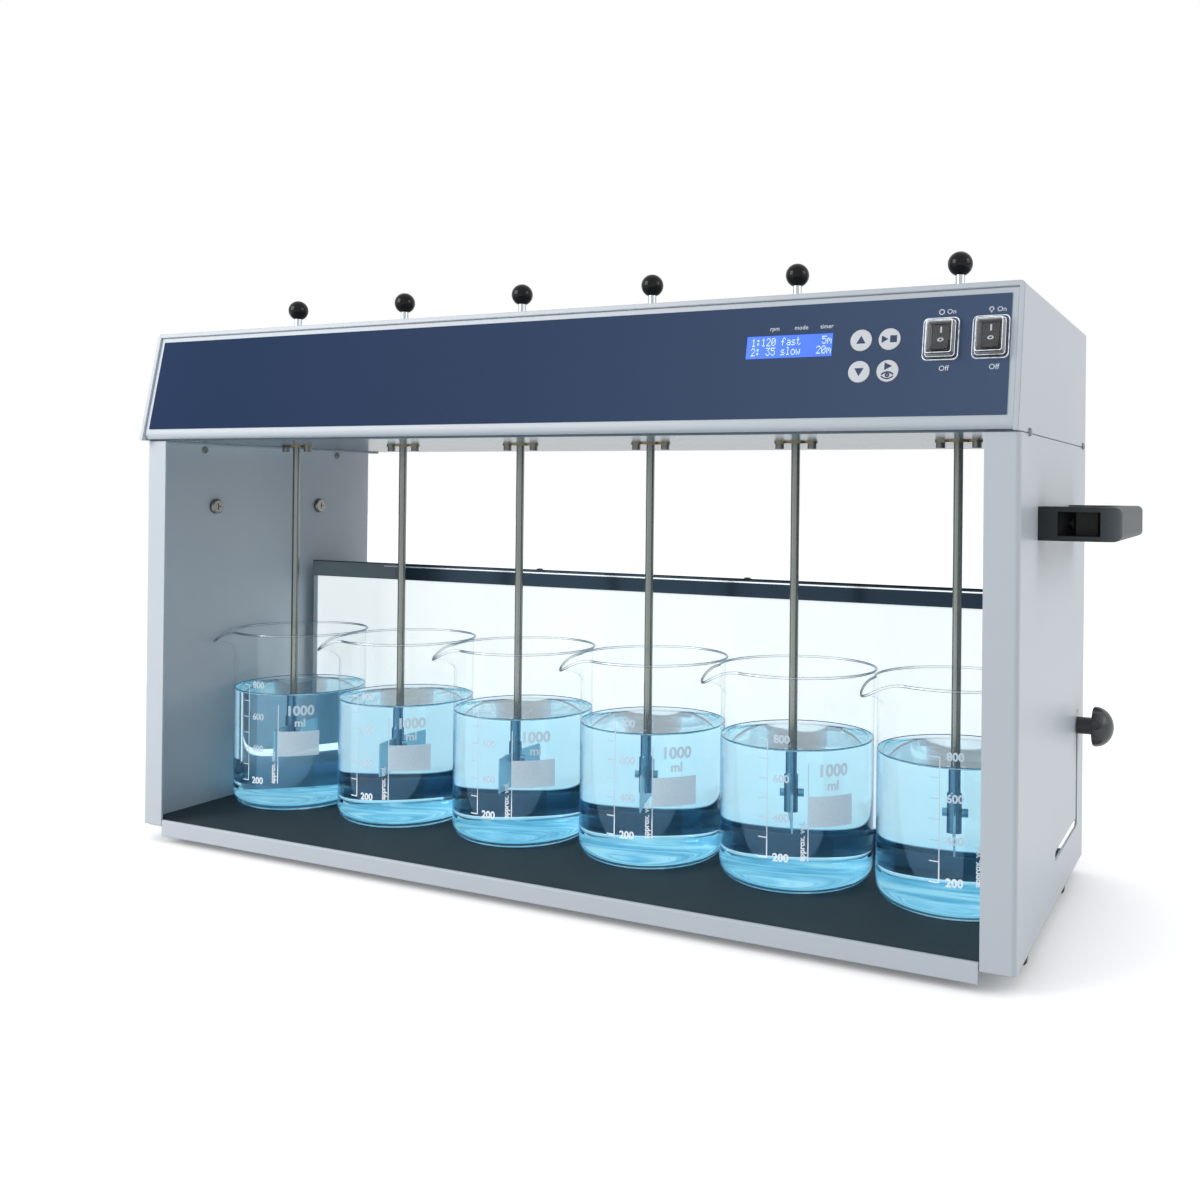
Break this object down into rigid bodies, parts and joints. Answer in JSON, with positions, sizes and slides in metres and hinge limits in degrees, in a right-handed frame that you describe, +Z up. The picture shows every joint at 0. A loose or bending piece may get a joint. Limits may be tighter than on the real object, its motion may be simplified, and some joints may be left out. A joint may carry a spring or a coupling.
{
  "type": "jar tester",
  "caption": "Bench flocculation tester: steel cabinet with a belt-driven row of lifting stirrers over spouted jars, a lit back panel, keypad, rocker switches and side handles.",
  "frame": {"origin": "on the ground under the middle of the whole object's box", "axes": "+X along the width to the right as seen from the front, +Y from the front to the back, +Z up"},
  "size_m": [0.762, 0.266, 0.4305],
  "materials": {
    "hood_paint": "semi-gloss powder coat",
    "overlay_print": "fine satin print",
    "display_glass": "glossy window, lit blue",
    "key_plastic": "satin",
    "switch_plastic": "satin",
    "rocker_plastic": "gloss",
    "clear_cap": "clear",
    "cabinet_paint": "semi-gloss powder coat",
    "mat_rubber": "ribless matt sheet",
    "foot_rubber": "matt",
    "handle_plastic": "moulded grain",
    "screw_steel": "bright",
    "light_sheet": "powder coat",
    "lip_steel": "polished",
    "diffuser_plastic": "opal",
    "led_board": "board",
    "knob_plastic": "satin",
    "bearing_brass": "turned",
    "belt_rubber": "matt",
    "motor_steel": "enamel",
    "rotor_steel": "plain",
    "circuit_board": "solder mask",
    "inlet_plastic": "satin",
    "jar_glass": "clear borosilicate",
    "pulley_plastic": "moulded",
    "rod_steel": "ground",
    "ball_plastic": "polished",
    "paddle_steel": "satin sheet"
  },
  "bodies": {
    "root": {"hood_cover": "hood_paint", "hood_floor": "hood_paint", "front_panel": "hood_paint", "control_overlay": "overlay_print", "display": "display_glass", "switch_bodies": "switch_plastic", "switch_caps": "clear_cap", "left_side_panel": "cabinet_paint", "right_side_panel": "cabinet_paint", "base_tray": "cabinet_paint", "base_mat": "mat_rubber", "feet": "foot_rubber", "handle_left": "handle_plastic", "handle_right": "handle_plastic", "handle_screws": "screw_steel", "bearings": "bearing_brass", "bearing_screws": "screw_steel", "drive_belts": "belt_rubber", "motor": "motor_steel", "electronics": "circuit_board", "mains_inlet": "inlet_plastic", "beakers": "jar_glass"},
    "key_up": {"key_up": "key_plastic"},
    "key_down": {"key_down": "key_plastic"},
    "key_start": {"key_start": "key_plastic"},
    "key_light": {"key_light": "key_plastic"},
    "rocker_drive": {"rocker_drive": "rocker_plastic"},
    "rocker_lamp": {"rocker_lamp": "rocker_plastic"},
    "light_box": {"light_housing": "light_sheet", "light_trim": "lip_steel", "light_diffuser": "diffuser_plastic", "light_board": "led_board"},
    "clamp_knob_left": {"clamp_knob_left": "knob_plastic"},
    "clamp_knob_right": {"clamp_knob_right": "knob_plastic"},
    "motor_rotor": {"motor_rotor": "rotor_steel"},
    "pulley_1": {"drive_pulley_1": "pulley_plastic"},
    "stirrer_1": {"stirrer_rod_1": "rod_steel", "ball_knob_1": "ball_plastic", "paddle_1": "paddle_steel"},
    "pulley_2": {"drive_pulley_2": "pulley_plastic"},
    "stirrer_2": {"stirrer_rod_2": "rod_steel", "ball_knob_2": "ball_plastic", "paddle_2": "paddle_steel"},
    "pulley_3": {"drive_pulley_3": "pulley_plastic"},
    "stirrer_3": {"stirrer_rod_3": "rod_steel", "ball_knob_3": "ball_plastic", "paddle_3": "paddle_steel"},
    "pulley_4": {"drive_pulley_4": "pulley_plastic"},
    "stirrer_4": {"stirrer_rod_4": "rod_steel", "ball_knob_4": "ball_plastic", "paddle_4": "paddle_steel"},
    "pulley_5": {"drive_pulley_5": "pulley_plastic"},
    "stirrer_5": {"stirrer_rod_5": "rod_steel", "ball_knob_5": "ball_plastic", "paddle_5": "paddle_steel"},
    "pulley_6": {"drive_pulley_6": "pulley_plastic"},
    "stirrer_6": {"stirrer_rod_6": "rod_steel", "ball_knob_6": "ball_plastic", "paddle_6": "paddle_steel"}
  },
  "joints": [
    {"name": "motor_spin", "type": "hinge", "parent": "root", "child": "motor_rotor", "pos_m": [-0.2395, 0.06255, 0.3325], "axis": [0, 0, 1], "continuous": true},
    {"name": "stirrer_spin_1", "type": "hinge", "parent": "root", "child": "pulley_1", "pos_m": [-0.2775, -0.02545, 0.3125], "axis": [0, 0, 1], "continuous": true},
    {"name": "stirrer_lift_1", "type": "slide", "parent": "pulley_1", "child": "stirrer_1", "axis": [0, 0, 1], "range_m": [-0.019, 0.215]},
    {"name": "stirrer_spin_2", "type": "hinge", "parent": "root", "child": "pulley_2", "pos_m": [-0.1665, -0.02545, 0.3125], "axis": [0, 0, 1], "continuous": true},
    {"name": "stirrer_lift_2", "type": "slide", "parent": "pulley_2", "child": "stirrer_2", "axis": [0, 0, 1], "range_m": [-0.019, 0.215]},
    {"name": "stirrer_spin_3", "type": "hinge", "parent": "root", "child": "pulley_3", "pos_m": [-0.0555, -0.02545, 0.3125], "axis": [0, 0, 1], "continuous": true},
    {"name": "stirrer_lift_3", "type": "slide", "parent": "pulley_3", "child": "stirrer_3", "axis": [0, 0, 1], "range_m": [-0.019, 0.215]},
    {"name": "stirrer_spin_4", "type": "hinge", "parent": "root", "child": "pulley_4", "pos_m": [0.0555, -0.02545, 0.3125], "axis": [0, 0, 1], "continuous": true},
    {"name": "stirrer_lift_4", "type": "slide", "parent": "pulley_4", "child": "stirrer_4", "axis": [0, 0, 1], "range_m": [-0.019, 0.215]},
    {"name": "stirrer_spin_5", "type": "hinge", "parent": "root", "child": "pulley_5", "pos_m": [0.1665, -0.02545, 0.3125], "axis": [0, 0, 1], "continuous": true},
    {"name": "stirrer_lift_5", "type": "slide", "parent": "pulley_5", "child": "stirrer_5", "axis": [0, 0, 1], "range_m": [-0.019, 0.215]},
    {"name": "stirrer_spin_6", "type": "hinge", "parent": "root", "child": "pulley_6", "pos_m": [0.2775, -0.02545, 0.3125], "axis": [0, 0, 1], "continuous": true},
    {"name": "stirrer_lift_6", "type": "slide", "parent": "pulley_6", "child": "stirrer_6", "axis": [0, 0, 1], "range_m": [-0.019, 0.215]},
    {"name": "press_key_up", "type": "slide", "parent": "root", "child": "key_up", "axis": [0, 0.9794, -0.2017], "range_m": [0, 0.0005], "stiffness_N_per_m": 400, "springref_m": -0.001},
    {"name": "press_key_down", "type": "slide", "parent": "root", "child": "key_down", "axis": [0, 0.9794, -0.2017], "range_m": [0, 0.0005], "stiffness_N_per_m": 400, "springref_m": -0.001},
    {"name": "press_key_start", "type": "slide", "parent": "root", "child": "key_start", "axis": [0, 0.9794, -0.2017], "range_m": [0, 0.0005], "stiffness_N_per_m": 400, "springref_m": -0.001},
    {"name": "press_key_light", "type": "slide", "parent": "root", "child": "key_light", "axis": [0, 0.9794, -0.2017], "range_m": [0, 0.0005], "stiffness_N_per_m": 400, "springref_m": -0.001},
    {"name": "rocker_drive_tilt", "type": "hinge", "parent": "root", "child": "rocker_drive", "pos_m": [0.2895, -0.1213, 0.3623], "axis": [1, 0, 0], "range_deg": [0, 24]},
    {"name": "rocker_lamp_tilt", "type": "hinge", "parent": "root", "child": "rocker_lamp", "pos_m": [0.3175, -0.1213, 0.3623], "axis": [1, 0, 0], "range_deg": [0, 24]},
    {"name": "light_box_drop", "type": "slide", "parent": "root", "child": "light_box", "axis": [0, 0, 1], "range_m": [-0.014, 0]},
    {"name": "clamp_knob_left_turn", "type": "hinge", "parent": "light_box", "child": "clamp_knob_left", "pos_m": [-0.34, 0.09815, 0.112], "axis": [1, 0, 0], "continuous": true},
    {"name": "clamp_knob_right_turn", "type": "hinge", "parent": "light_box", "child": "clamp_knob_right", "pos_m": [0.34, 0.09815, 0.112], "axis": [1, 0, 0], "continuous": true}
  ],
  "couplings": [
    {"joint": "stirrer_spin_1", "follows": "motor_spin", "ratio": 0.5},
    {"joint": "stirrer_spin_2", "follows": "motor_spin", "ratio": 0.5},
    {"joint": "stirrer_spin_3", "follows": "motor_spin", "ratio": 0.5},
    {"joint": "stirrer_spin_4", "follows": "motor_spin", "ratio": 0.5},
    {"joint": "stirrer_spin_5", "follows": "motor_spin", "ratio": 0.5},
    {"joint": "stirrer_spin_6", "follows": "motor_spin", "ratio": 0.5}
  ]
}
